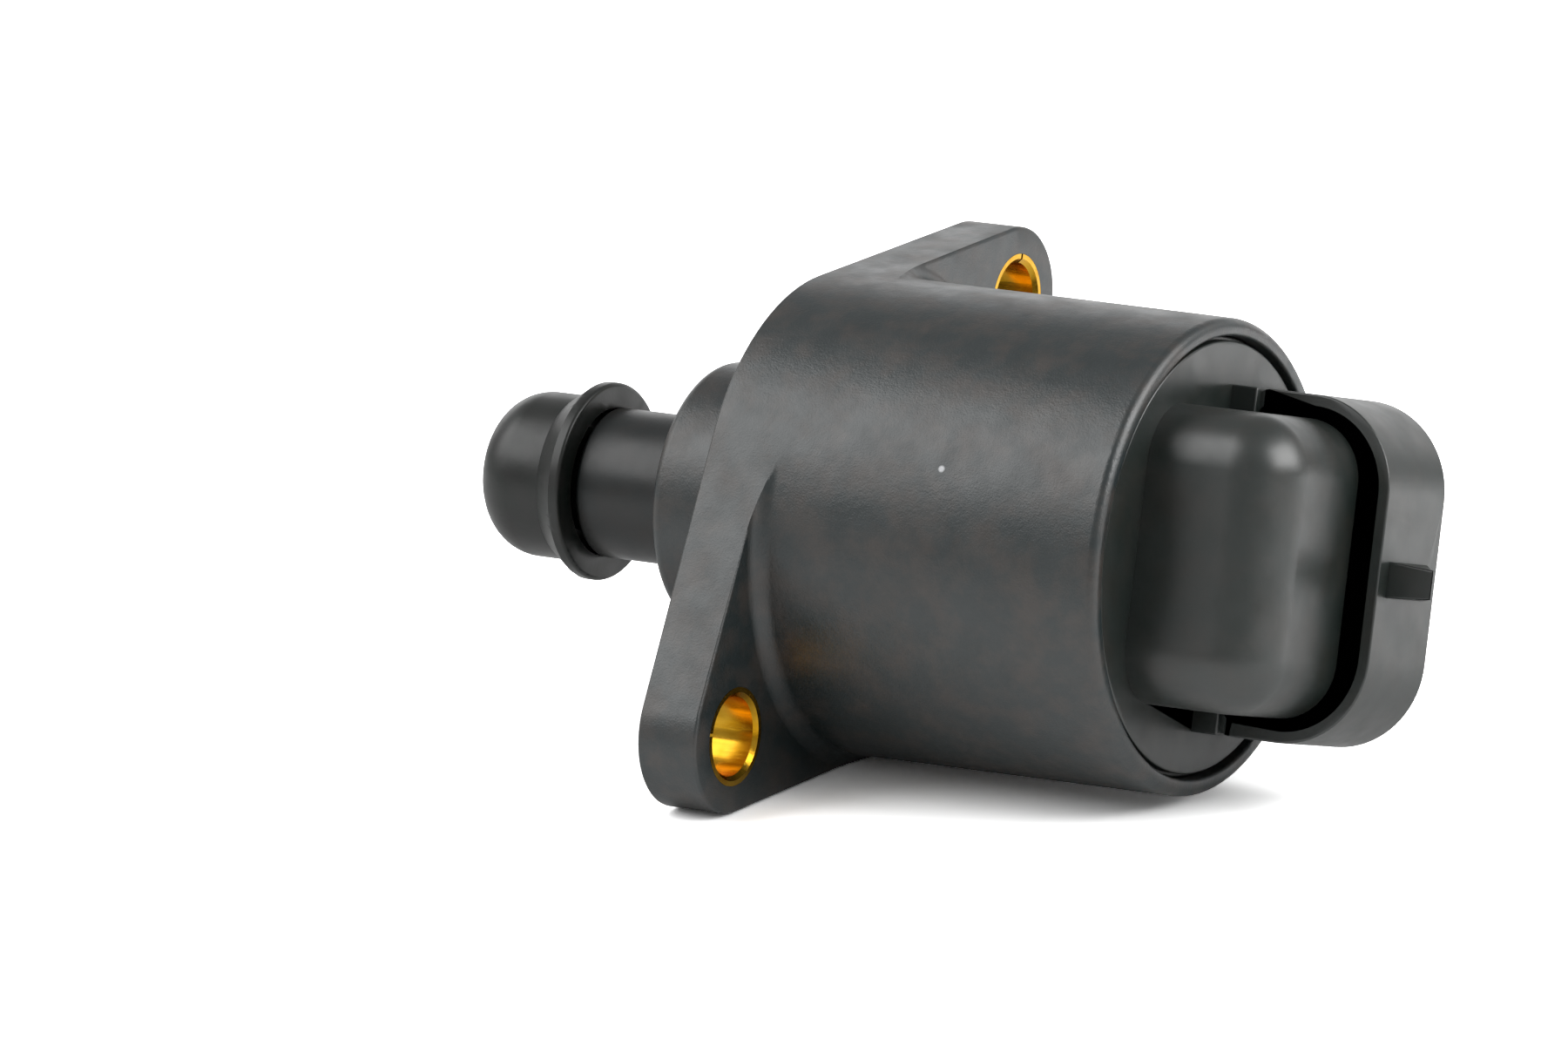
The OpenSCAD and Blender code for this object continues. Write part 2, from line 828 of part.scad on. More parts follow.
// One terminal seen from above: foot on the coil pin, run through the disc, blade in the socket
module terminal_outline()
    union() {
        translate([foot_x, foot_end])
            square([blade_t, blade_y - foot_end + eps]);
        difference() {
            translate([foot_x, blade_y])
                square([socket_mid + blade_t / 2 - foot_x, blade_t]);
            translate([socket_mid + blade_t / 2, blade_y])
                edge_cut(blade_t * 0.9);
        }
        polygon([[socket_mid - blade_t / 2, blade_y + blade_t - eps],
            [socket_mid + blade_t / 2, blade_y + blade_t - eps],
            [socket_mid + blade_t / 2, tip_y - blade_taper],
            [socket_mid + blade_t * blade_point / 2, tip_y],
            [socket_mid - blade_t * blade_point / 2, tip_y],
            [socket_mid - blade_t / 2, tip_y - blade_taper]]);
    }

module terminal(place)
    color("#c9b37a")
        difference() {
            across_z(place * pin_pitch, blade_w)
                terminal_outline();
            coil_pin_row(pin_r + seat_gap);
        }

module connector_cap()
    color(black_plastic)
        difference() {
            union() {
                turned()
                    disc_outline();
                pod();
                shroud();
            }
            along_y(mouth_floor, shroud_far + 1)
                shroud_room();
            along_y(shroud_far - socket_depth, mouth_floor + eps)
                oval(socket_in, pod_x - socket_wall, pod_half - socket_wall, socket_corner, socket_corner);
            for (i = [-1.5:1:1.5])
                across_z(i * pin_pitch, blade_w)
                    terminal_outline();
        }

housing();
bushing(1, 90);  // bushing_upper
bushing(-1, 180);  // bushing_lower
guide_sleeve();
valve_head();
lead_screw();
bearing_outer_race();
bearing_inner_race();
bearing_balls();
bearing_cage();
front_plate();
stator_cup_front();
stator_plate_front();
stator_plate_rear();
stator_cup_rear();
bobbin_front();
bobbin_rear();
winding_front();
winding_rear();
coil_pins();
rotor_hub();
rotor_nut();
rotor_magnet();
thrust_washer();
disc_spring();
rear_bush();
cap_seal();
connector_cap();
terminal(-1.5);  // terminal_1
terminal(-0.5);  // terminal_2
terminal(0.5);  // terminal_3
terminal(1.5);  // terminal_4
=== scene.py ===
# %% [markdown]
# Idle air control valve
#
# This lesson dresses an idle air control valve, the small motor that lets air past a closed
# throttle so that an engine keeps turning over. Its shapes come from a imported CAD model, which is
# loaded as a fixed frame. Blender adds soft moulded edges, a cut thread, wound wire and the
# finishes: satin black plastic, bright brass, sheet steel and copper.

# %% Load the frame
import math

import bmesh
import bpy
from mathutils import Matrix, Vector


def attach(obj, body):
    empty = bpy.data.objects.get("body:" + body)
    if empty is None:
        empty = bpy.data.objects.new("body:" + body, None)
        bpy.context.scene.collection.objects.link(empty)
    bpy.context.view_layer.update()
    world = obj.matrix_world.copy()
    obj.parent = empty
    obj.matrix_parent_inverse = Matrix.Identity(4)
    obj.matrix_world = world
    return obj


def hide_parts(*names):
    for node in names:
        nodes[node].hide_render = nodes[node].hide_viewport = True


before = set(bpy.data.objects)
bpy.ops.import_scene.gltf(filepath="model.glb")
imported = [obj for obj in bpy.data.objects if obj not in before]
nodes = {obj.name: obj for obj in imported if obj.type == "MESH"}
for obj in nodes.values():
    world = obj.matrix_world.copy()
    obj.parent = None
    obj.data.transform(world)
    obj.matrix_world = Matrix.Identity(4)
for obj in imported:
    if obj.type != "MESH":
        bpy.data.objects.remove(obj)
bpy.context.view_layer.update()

MM = 0.001

# %% [markdown]
# Helpers for objects and nodes
#
# Two functions put an object into the scene and turn it to face a way. The others keep the node
# trees short. One clears a tree. One adds a node and sets it: a name that begins with in_ is an
# input, and any other is a setting. One gives a socket its value, by a link where the value is
# another socket. The last three reckon with two values, stretch a value from one range to
# another, and mix two colours.

# %% Define the helpers


def linked(name, data):
    thing = bpy.data.objects.new(name, data)
    bpy.context.scene.collection.objects.link(thing)
    return thing


def facing(place, normal):
    return Matrix.Translation(place) @ normal.to_track_quat("Z", "Y").to_matrix().to_4x4()


def emptied_tree(owner):
    owner.use_nodes = True
    owner.node_tree.nodes.clear()
    return owner.node_tree


def add(tree, kind, **values):
    node = tree.nodes.new(kind)
    for key, value in values.items():
        if key.startswith("in_"):
            node.inputs[key[3:].replace("_", " ")].default_value = value
        else:
            setattr(node, key, value)
    return node


def feed(tree, socket, value):
    if isinstance(value, bpy.types.NodeSocket):
        tree.links.new(value, socket)
    else:
        socket.default_value = value


def reckoned(tree, operation, first, second):
    node = add(tree, "ShaderNodeMath", operation=operation)
    feed(tree, node.inputs[0], first)
    feed(tree, node.inputs[1], second)
    return node.outputs[0]


def ranged(tree, value, low, high, to_low=0.0, to_high=1.0, **settings):
    node = add(tree, "ShaderNodeMapRange", in_From_Min=low, in_From_Max=high, **settings)
    feed(tree, node.inputs["Value"], value)
    feed(tree, node.inputs["To Min"], to_low)
    feed(tree, node.inputs["To Max"], to_high)
    return node.outputs[0]


def blended(tree, share, first, second):
    mix = add(tree, "ShaderNodeMix", data_type="RGBA")
    share_socket, first_socket, second_socket = mix.inputs[0], mix.inputs[6], mix.inputs[7]
    feed(tree, share_socket, share)
    feed(tree, first_socket, first)
    feed(tree, second_socket, second)
    return mix.outputs[2]


print("helpers ready")

# %% [markdown]
# The camera
#
# The valve lies on its side, turned so that the connector end comes towards us and to the right.
# The camera is given by two angles round the valve, a roll, and a distance. A long lens keeps the
# front and the back of the valve nearly the same size. The two small offsets put the valve a
# little off the middle of the picture, so the lens needs no shift.

# %% Place the camera
AZIMUTH = math.radians(30.13)
ELEVATION = math.radians(0.86)
ROLL = math.radians(6.79)
DISTANCE = 733.6 * MM
OFFSET_RIGHT = 2.224 * MM
OFFSET_UP = 0.837 * MM
FOCAL_PX = 14000
FRAME_PX = 1800
SENSOR = 36.0

towards_camera = Vector((math.sin(AZIMUTH) * math.cos(ELEVATION),
                         -math.cos(AZIMUTH) * math.cos(ELEVATION),
                         math.sin(ELEVATION)))
level_right = Vector((math.cos(AZIMUTH), math.sin(AZIMUTH), 0))
level_up = towards_camera.cross(level_right)
camera_right = math.cos(ROLL) * level_right + math.sin(ROLL) * level_up
camera_up = towards_camera.cross(camera_right)

camera_data = bpy.data.cameras.new("camera")
camera_data.sensor_width = SENSOR
camera_data.lens = FOCAL_PX / FRAME_PX * SENSOR
camera = linked("camera", camera_data)
place = Matrix((camera_right, camera_up, towards_camera)).transposed().to_4x4()
place.translation = (towards_camera * DISTANCE - camera_right * OFFSET_RIGHT
                     - camera_up * OFFSET_UP)
camera.matrix_world = place
bpy.context.scene.camera = camera
print("lens", camera_data.lens, "mm, camera at", [round(v, 4) for v in place.translation])

# %% [markdown]
# The table
#
# The valve rests on its barrel and on its lower ear, so the table is not square to the valve's own
# axes. The camera looks down on the table by about fourteen degrees and sees it without roll,
# which gives the table's normal. The table then moves along that normal until it just touches the
# valve. Its white comes from its colour, which is stronger where the camera looks at it, as on a
# table that a photograph shows overexposed. It fades out towards its edge, and from below it can
# be seen through.

# %% Lay the table under the valve
TABLE_TILT = math.radians(14.25)
TABLE_RADIUS = 0.55
TABLE_GAP = 0.02 * MM
TABLE_SIDES = 64
TABLE_WHITE = 0.9
TABLE_WHITE_SEEN = 2.6
TABLE_WHITE_IN_SHEEN = 0.92
FADE_FROM = 0.35 * TABLE_RADIUS
FADE_TO = 0.98 * TABLE_RADIUS

table_up = math.cos(TABLE_TILT) * camera_up + math.sin(TABLE_TILT) * towards_camera
lowest = min(table_up.dot(v.co) for o in nodes.values() for v in o.data.vertices)


def table_material():
    material = bpy.data.materials.new("white_table")
    tree = emptied_tree(material)
    link = tree.links.new
    rays = add(tree, "ShaderNodeLightPath")
    in_sheen = ranged(tree, rays.outputs["Is Glossy Ray"], 0, 1,
                      TABLE_WHITE, TABLE_WHITE_IN_SHEEN)
    white = ranged(tree, rays.outputs["Is Camera Ray"], 0, 1, in_sheen, TABLE_WHITE_SEEN)
    surface = add(tree, "ShaderNodeBsdfDiffuse")
    link(white, surface.inputs["Color"])
    distance = add(tree, "ShaderNodeVectorMath", operation="LENGTH")
    link(add(tree, "ShaderNodeTexCoord").outputs["Object"], distance.inputs[0])
    faded = ranged(tree, distance.outputs["Value"], FADE_FROM, FADE_TO,
                   interpolation_type="SMOOTHSTEP")
    back = add(tree, "ShaderNodeNewGeometry").outputs["Backfacing"]
    mix = add(tree, "ShaderNodeMixShader")
    link(reckoned(tree, "MAXIMUM", faded, back), mix.inputs[0])
    link(surface.outputs[0], mix.inputs[1])
    link(add(tree, "ShaderNodeBsdfTransparent").outputs[0], mix.inputs[2])
    link(mix.outputs[0], add(tree, "ShaderNodeOutputMaterial").inputs["Surface"])
    return material


table_mesh = bpy.data.meshes.new("table")
bm = bmesh.new()
bmesh.ops.create_circle(bm, cap_ends=True, radius=TABLE_RADIUS, segments=TABLE_SIDES)
bm.to_mesh(table_mesh)
bm.free()
table_mesh.materials.append(table_material())
table = linked("table", table_mesh)
table.matrix_world = facing(table_up * (lowest - TABLE_GAP), table_up)
print("table normal", [round(v, 3) for v in table_up], "offset", round(lowest / MM, 2), "mm")

# %% [markdown]
# The light
#
# Black plastic shows little of its own colour. What is seen is mostly the pale room in its sheen,
# so the lamps are wide and soft. The largest stands to the left, a brighter and nearer one to the
# right, and a long low one behind, where a white table would run on to the wall. The side towards
# the camera stays darker, which gives the barrel its shading. Each lamp is placed by the way that
# one looks to see it from the valve: an angle round the table's normal, from straight behind
# towards the right, and a height above the table. A lamp is given by the radiance that it shows,
# and its watts follow from that and its area.

# %% Hang the lamps
LAMPS = {
    "left": {"round": -92, "above": 41, "distance": 0.9, "size": (0.95, 0.70), "radiance": 1.8},
    "right": {"round": 109, "above": 32, "distance": 0.30, "size": (0.27, 0.18), "radiance": 3.6},
    "behind": {"round": 5, "above": 10, "distance": 0.9, "size": (1.50, 0.40), "radiance": 0.9},
}
WATTS_FOR_RADIANCE = 4

room_front = (towards_camera - towards_camera.dot(table_up) * table_up).normalized()
room_right = table_up.cross(room_front)

for name, lamp in LAMPS.items():
    turn = math.radians(lamp["round"])
    rise = math.radians(lamp["above"])
    direction = (math.cos(rise) * (math.sin(turn) * room_right - math.cos(turn) * room_front)
                 + math.sin(rise) * table_up)
    data = bpy.data.lights.new(name, "AREA")
    data.shape = "RECTANGLE"
    data.size, data.size_y = lamp["size"]
    data.energy = WATTS_FOR_RADIANCE * lamp["radiance"] * data.size * data.size_y
    linked(name, data).matrix_world = facing(direction * lamp["distance"], direction)
print("lamps", list(LAMPS))

# %% [markdown]
# A patch of bright table
#
# The faces that look along the valve's axis mirror the bare table to the right of the picture. A
# narrow spot lights that patch. It stands further to the right, so the valve is outside its cone.

# %% Light the patch
SPOT_RIGHT = 135 * MM
SPOT_BACK = 50 * MM
SPOT_HEIGHT = 600 * MM
SPOT_ASIDE = 250 * MM
SPOT_CONE = math.radians(15)
SPOT_SOFTNESS = 0.6
SPOT_WATTS = 13
SPOT_RADIUS = 5 * MM

patch = SPOT_RIGHT * room_right - SPOT_BACK * room_front
stand = patch + SPOT_HEIGHT * table_up + SPOT_ASIDE * room_right
data = bpy.data.lights.new("table_spot", "SPOT")
data.energy = SPOT_WATTS
data.spot_size = SPOT_CONE
data.spot_blend = SPOT_SOFTNESS
data.shadow_soft_size = SPOT_RADIUS
linked("table_spot", data).matrix_world = facing(stand, stand - patch - lowest * table_up)
print("spot stands", round(stand.length, 2), "m away")

# %% [markdown]
# The room
#
# The world adds an even grey to the light. Where the camera looks straight at it, it is white.

# %% Fill the room
ROOM_LEVEL = 0.36

world = bpy.data.worlds.new("room")
bpy.context.scene.world = world
tree = emptied_tree(world)
seen = add(tree, "ShaderNodeLightPath").outputs["Is Camera Ray"]
sky = add(tree, "ShaderNodeBackground", in_Color=(1, 1, 1, 1))
tree.links.new(reckoned(tree, "MAXIMUM", seen, ROOM_LEVEL), sky.inputs["Strength"])
tree.links.new(sky.outputs[0], add(tree, "ShaderNodeOutputWorld").inputs["Surface"])
bpy.context.scene.view_settings.view_transform = "Standard"
print("room level", ROOM_LEVEL)

# %% [markdown]
# Moulded plastic
#
# The body, the connector end, the sleeve and the valve head are glass-filled nylon. Its skin is
# satin with a very fine grain, and clouds of slightly paler and browner tone where the plastic
# flowed. One node group makes both from noise in the piece's own coordinates. It puts out a
# colour, a roughness and a height, and each material gives it its own tones and sizes. The scales
# are in waves per metre.

# %% Build the moulded skin group
SPECK_SCALE = 2600.0
PATCH_SCALE = 480.0
CLOUD_RANGE = (0.42, 0.66)
PATCH_RANGE = (0.3, 0.7)


def new_group(kind, name, inputs, outputs):
    group = bpy.data.node_groups.new(name, kind)
    for label, socket_type, value in inputs:
        socket = group.interface.new_socket(label, in_out="INPUT", socket_type=socket_type)
        if value is not None:
            socket.default_value = value
    for label, socket_type in outputs:
        group.interface.new_socket(label, in_out="OUTPUT", socket_type=socket_type)
    return group, add(group, "NodeGroupInput"), add(group, "NodeGroupOutput")


def noise(tree, where, scale, detail, roughness=0.5):
    texture = add(tree, "ShaderNodeTexNoise", in_Detail=detail, in_Roughness=roughness)
    feed(tree, texture.inputs["Vector"], where)
    feed(tree, texture.inputs["Scale"], scale)
    return texture.outputs["Fac"]


def moulded_skin_group():
    tree, inputs, outputs = new_group(
        "ShaderNodeTree", "moulded_skin",
        [("Tone", "NodeSocketColor", (0.04, 0.04, 0.045, 1)),
         ("Flow tone", "NodeSocketColor", (0.06, 0.055, 0.05, 1)),
         ("Cloud scale", "NodeSocketFloat", 220.0),
         ("Grain scale", "NodeSocketFloat", 9000.0),
         ("Roughness low", "NodeSocketFloat", 0.4),
         ("Roughness high", "NodeSocketFloat", 0.55)],
        [("Color", "NodeSocketColor"), ("Roughness", "NodeSocketFloat"),
         ("Height", "NodeSocketFloat")])
    link = tree.links.new
    where = add(tree, "ShaderNodeTexCoord").outputs["Object"]
    clouds = noise(tree, where, inputs.outputs["Cloud scale"], detail=4.0, roughness=0.6)
    link(blended(tree, ranged(tree, clouds, *CLOUD_RANGE), inputs.outputs["Tone"],
                 inputs.outputs["Flow tone"]), outputs.inputs["Color"])
    grain = noise(tree, where, inputs.outputs["Grain scale"], detail=2.0)
    specks = noise(tree, where, SPECK_SCALE, detail=3.0)
    link(reckoned(tree, "ADD", grain, specks), outputs.inputs["Height"])
    patches = noise(tree, where, PATCH_SCALE, detail=3.0)
    link(ranged(tree, patches, *PATCH_RANGE, inputs.outputs["Roughness low"],
                inputs.outputs["Roughness high"]), outputs.inputs["Roughness"])
    return tree


moulded_skin = moulded_skin_group()
print("group", moulded_skin.name, "with", len(moulded_skin.nodes), "nodes")

# %% [markdown]
# The black mouldings
#
# The four black mouldings share the group but not its values. The barrel has the strongest clouds
# and the deepest grain, the connector end is even and nearly without grain, and the sleeve and
# the valve head are a little smoother and mirror less.

# %% Make the black plastics
GRAIN_HEIGHT = 0.03 * MM


def principled(name, **values):
    material = bpy.data.materials.new(name)
    tree = emptied_tree(material)
    shader = add(tree, "ShaderNodeBsdfPrincipled")
    for label, value in values.items():
        shader.inputs[label].default_value = value
    tree.links.new(shader.outputs[0], add(tree, "ShaderNodeOutputMaterial").inputs["Surface"])
    return material, tree, shader


def bump(tree, shader, height, depth, distance):
    node = add(tree, "ShaderNodeBump", in_Strength=depth, in_Distance=distance)
    tree.links.new(height, node.inputs["Height"])
    tree.links.new(node.outputs[0], shader.inputs["Normal"])


def moulded(name, ior, tone, flow, cloud_scale, smooth, rough, depth):
    material, tree, shader = principled(name, IOR=ior)
    skin = add(tree, "ShaderNodeGroup", node_tree=moulded_skin)
    for label, value in (("Tone", (*tone, 1)), ("Flow tone", (*flow, 1)),
                         ("Cloud scale", cloud_scale), ("Roughness low", smooth),
                         ("Roughness high", rough)):
        skin.inputs[label].default_value = value
    tree.links.new(skin.outputs["Color"], shader.inputs["Base Color"])
    tree.links.new(skin.outputs["Roughness"], shader.inputs["Roughness"])
    bump(tree, shader, skin.outputs["Height"], depth, GRAIN_HEIGHT)
    return material


barrel_plastic = moulded(
    "barrel_black", ior=1.8, tone=(0.008, 0.015, 0.016), flow=(0.031, 0.026, 0.022),
    cloud_scale=460.0, smooth=0.33, rough=0.46, depth=0.45)
cap_plastic = moulded(
    "cap_black", ior=1.8, tone=(0.009, 0.014, 0.012), flow=(0.015, 0.016, 0.013),
    cloud_scale=380.0, smooth=0.33, rough=0.43, depth=0.02)
sleeve_plastic = moulded(
    "sleeve_black", ior=1.6, tone=(0.005, 0.008, 0.008), flow=(0.011, 0.010, 0.009),
    cloud_scale=400.0, smooth=0.32, rough=0.42, depth=0.10)
head_plastic = moulded(
    "head_black", ior=1.6, tone=(0.005, 0.008, 0.006), flow=(0.010, 0.010, 0.009),
    cloud_scale=400.0, smooth=0.32, rough=0.42, depth=0.10)
print("plastics", [m.name for m in (barrel_plastic, cap_plastic, sleeve_plastic, head_plastic)])

# %% [markdown]
# A fleck of lint
#
# One pale fleck clings to the barrel. It is a small ball of colour: the distance from its middle,
# in the barrel's own coordinates, chooses between the plastic's colour and the lint's.

# %% Put the fleck on the barrel
LINT_PLACE = (15.78 * MM, -13.99 * MM, 3.43 * MM)
LINT_RADIUS = 0.26 * MM
LINT_CORE = 0.6 * LINT_RADIUS
LINT_COLOR = (0.55, 0.56, 0.58, 1)

tree = barrel_plastic.node_tree
shader = next(node for node in tree.nodes if node.type == "BSDF_PRINCIPLED")
color = shader.inputs["Base Color"]
distance = add(tree, "ShaderNodeVectorMath", operation="DISTANCE")
distance.inputs[1].default_value = LINT_PLACE
tree.links.new(add(tree, "ShaderNodeTexCoord").outputs["Object"], distance.inputs[0])
lint = ranged(tree, distance.outputs["Value"], LINT_CORE, LINT_RADIUS, 1.0, 0.0)
tree.links.new(blended(tree, lint, color.links[0].from_socket, LINT_COLOR), color)
print("lint across", round(2 * LINT_RADIUS / MM, 2), "mm")

# %% [markdown]
# Metals
#
# The bushings are rolled from bright brass strip and carry fine lines along their bores. The other
# metals are inside: the steel of the screw, ground bearing steel, sheet steel, sintered bronze,
# tinned brass and copper wire. One group makes the fine lines by stretching a noise along the
# axis, round it or across it.

# %% Build the drawn-metal group and the metals
STAIN_SCALE = 900.0
STAIN_RANGE = (0.35, 0.65)
LINE_RANGE = (0.3, 0.7)
LINE_HEIGHT = 0.01 * MM
ALONG = (0.05, 1.0, 1.0)
AROUND = (1.0, 0.1, 0.1)
ACROSS = (1.0, 0.05, 1.0)
EVEN = (1.0, 1.0, 1.0)


def drawn_lines_group():
    tree, inputs, outputs = new_group(
        "ShaderNodeTree", "drawn_lines",
        [("Stretch", "NodeSocketVector", ALONG), ("Scale", "NodeSocketFloat", 5000.0)],
        [("Lines", "NodeSocketFloat"), ("Clouds", "NodeSocketFloat")])
    where = add(tree, "ShaderNodeTexCoord").outputs["Object"]
    stretched = add(tree, "ShaderNodeVectorMath", operation="MULTIPLY")
    tree.links.new(where, stretched.inputs[0])
    tree.links.new(inputs.outputs["Stretch"], stretched.inputs[1])
    lines = noise(tree, stretched.outputs[0], inputs.outputs["Scale"], detail=3.0)
    tree.links.new(lines, outputs.inputs["Lines"])
    stains = noise(tree, where, STAIN_SCALE, detail=2.0)
    tree.links.new(stains, outputs.inputs["Clouds"])
    return tree


drawn_lines = drawn_lines_group()


def metal(name, color, tint, smooth, rough, stretch, depth):
    material, tree, shader = principled(name, Metallic=1.0)
    lines = add(tree, "ShaderNodeGroup", node_tree=drawn_lines)
    lines.inputs["Stretch"].default_value = stretch
    clouds = ranged(tree, lines.outputs["Clouds"], *STAIN_RANGE)
    tree.links.new(blended(tree, clouds, (*color, 1), (*tint, 1)), shader.inputs["Base Color"])
    tree.links.new(ranged(tree, lines.outputs["Lines"], *LINE_RANGE, smooth, rough),
                   shader.inputs["Roughness"])
    bump(tree, shader, lines.outputs["Lines"], depth, LINE_HEIGHT)
    return material


bright_brass = metal("bright_brass", color=(0.56, 0.28, 0.01), tint=(0.68, 0.38, 0.03),
                     smooth=0.14, rough=0.28, stretch=ALONG, depth=0.35)
screw_steel = metal("screw_steel", color=(0.50, 0.51, 0.53), tint=(0.56, 0.57, 0.58),
                    smooth=0.22, rough=0.38, stretch=AROUND, depth=0.25)
race_steel = metal("race_steel", color=(0.62, 0.63, 0.65), tint=(0.68, 0.69, 0.71),
                   smooth=0.08, rough=0.18, stretch=AROUND, depth=0.15)
sheet_steel = metal("sheet_steel", color=(0.42, 0.43, 0.45), tint=(0.50, 0.50, 0.51),
                    smooth=0.3, rough=0.48, stretch=EVEN, depth=0.3)
sintered_bronze = metal("sintered_bronze", color=(0.40, 0.28, 0.12), tint=(0.48, 0.34, 0.17),
                        smooth=0.42, rough=0.6, stretch=EVEN, depth=0.6)
tinned_brass = metal("tinned_brass", color=(0.62, 0.58, 0.48), tint=(0.66, 0.62, 0.55),
                     smooth=0.2, rough=0.34, stretch=ACROSS, depth=0.2)
copper_wire = metal("copper_wire", color=(0.50, 0.17, 0.06), tint=(0.58, 0.22, 0.08),
                    smooth=0.22, rough=0.34, stretch=EVEN, depth=0.15)
print("metals made with", drawn_lines.name)

# %% [markdown]
# Nylon, ferrite and rubber
#
# The remaining finishes are simple skins of the moulded group with other values: pale nylon for
# the bobbins and the rotor's hub, dark ferrite for the magnet, and dull rubber for the seal.

# %% Make nylon, ferrite and rubber
pale_nylon = moulded(
    "pale_nylon", ior=1.5, tone=(0.72, 0.68, 0.58), flow=(0.78, 0.75, 0.66),
    cloud_scale=200.0, smooth=0.38, rough=0.52, depth=0.2)
dark_ferrite = moulded(
    "dark_ferrite", ior=1.8, tone=(0.055, 0.055, 0.060), flow=(0.085, 0.085, 0.090),
    cloud_scale=700.0, smooth=0.40, rough=0.60, depth=0.5)
seal_rubber = moulded(
    "seal_rubber", ior=1.5, tone=(0.018, 0.018, 0.018), flow=(0.026, 0.025, 0.024),
    cloud_scale=300.0, smooth=0.55, rough=0.72, depth=0.2)
print("skins made with", moulded_skin.name)

# %% [markdown]
# Softened edges
#
# A mould leaves no knife edges. Each visible moulding starts as a copy of its CAD solid. The loose
# triangles are merged, flat areas are joined into single faces, and every outward edge that is
# sharper than a limit, between two faces that are broad enough, gets a narrow round. The piece
# keeps its size, because a round only takes away. The CAD normals are dropped, and normals
# weighted by area keep the flat faces flat.

# %% Define the softening
SHARP = math.radians(32)
FLAT = math.radians(0.3)
BROAD = 2.2
MERGE = 0.02 * MM
ROUND_STEPS = 3


def radius(vertex):
    return math.hypot(vertex.co.y, vertex.co.z)


def broad(face, width):
    return face.calc_area() > BROAD * width * max(e.calc_length() for e in face.edges)


def merged(node, distance=MERGE):
    bm = bmesh.new()
    bm.from_mesh(nodes[node].data)
    bmesh.ops.remove_doubles(bm, verts=bm.verts, dist=distance)
    bmesh.ops.dissolve_limit(bm, angle_limit=FLAT, verts=bm.verts, edges=bm.edges,
                             use_dissolve_boundaries=False)
    return bm


def shown(name, bm, material):
    mesh = bpy.data.meshes.new(name)
    bm.to_mesh(mesh)
    bm.free()
    if "custom_normal" in mesh.attributes:
        mesh.attributes.remove(mesh.attributes["custom_normal"])
    mesh.materials.append(material)
    mesh.shade_smooth()
    mesh.set_sharp_from_angle(angle=SHARP)
    return linked(name, mesh)


def plain_copy(piece):
    graph = bpy.context.evaluated_depsgraph_get()
    mesh = bpy.data.meshes.new_from_object(piece.evaluated_get(graph), depsgraph=graph)
    mesh.name = piece.name
    piece.modifiers.clear()
    piece.data = mesh


def dress(piece, node, body):
    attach(piece, body)
    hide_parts(node)
    print(piece.name, len(piece.data.polygons), "faces")


def eased(bm, node, width, body, material):
    sharp = [e for e in bm.edges if len(e.link_faces) == 2 and e.is_convex
             and e.calc_face_angle(0) > SHARP and all(broad(f, width) for f in e.link_faces)]
    bmesh.ops.bevel(bm, geom=sharp, offset=width, offset_type="OFFSET", segments=ROUND_STEPS,
                    profile=0.5, affect="EDGES", clamp_overlap=False, loop_slide=True)
    bmesh.ops.triangulate(bm, faces=[f for f in bm.faces if len(f.verts) > 4])
    piece = shown(node + "_skin", bm, material)
    weights = piece.modifiers.new("weights", "WEIGHTED_NORMAL")
    weights.keep_sharp = True
    plain_copy(piece)
    dress(piece, node, body)


print("edges over", round(math.degrees(SHARP)), "degrees are rounded")

# %% [markdown]
# The four mouldings
#
# The body is one moulding: flange, two ears, barrel and spigot. Its outer edges are eased by a
# fifth of a millimetre. Where the barrel leaves the flange, its draft begins with a step of a
# fiftieth of a millimetre, and the two rings of that step are drawn into one. The connector end,
# the sleeve and the valve head have finer edges, so their rounds are smaller.

# %% Soften the mouldings
HOUSING_MERGE = 0.03 * MM
STEP_ALONG = (5.05 * MM, 5.14 * MM)
STEP_RADII = (14.35 * MM, 14.43 * MM)
STEP_MERGE = 0.4 * MM

housing = merged("housing", HOUSING_MERGE)
step = [v for v in housing.verts if STEP_ALONG[0] < v.co.x < STEP_ALONG[1]
        and STEP_RADII[0] < radius(v) < STEP_RADII[1]]
bmesh.ops.remove_doubles(housing, verts=step, dist=STEP_MERGE)
eased(housing, "housing", width=0.2 * MM, body="valve_body",
      material=barrel_plastic)
eased(merged("connector_cap"), "connector_cap", width=0.12 * MM, body="valve_body",
      material=cap_plastic)
eased(merged("guide_sleeve"), "guide_sleeve", width=0.1 * MM, body="valve_body",
      material=sleeve_plastic)
eased(merged("valve_head"), "valve_head", width=0.12 * MM, body="plunger",
      material=head_plastic)

# %% [markdown]
# Wound wire and a cut thread
#
# The CAD model keeps the two windings as plain rings and the lead screw as a plain rod. Geometry
# Nodes adds the repeating detail. One tree lays circles of wire side by side along the axis. The
# other sweeps a small triangle along a right-handed spiral, which makes the thread. Each tree adds
# its detail to the solid that it is given, and its sizes are named inputs. Both build upright, and
# turn the result on to the valve's axis.

# %% Build the trees
RING_SIDES = 128
WIRE_SIDES = 8
THREAD_SIDES = 48
TRIANGLE = 3
ON_TO_AXIS = (0, math.pi / 2, 0)


def grown_tree(name, sizes):
    inputs = [("Solid", "NodeSocketGeometry", None), ("Finish", "NodeSocketMaterial", None)]
    return new_group("GeometryNodeTree", name, inputs + [(*size, None) for size in sizes],
                     [("Result", "NodeSocketGeometry")])


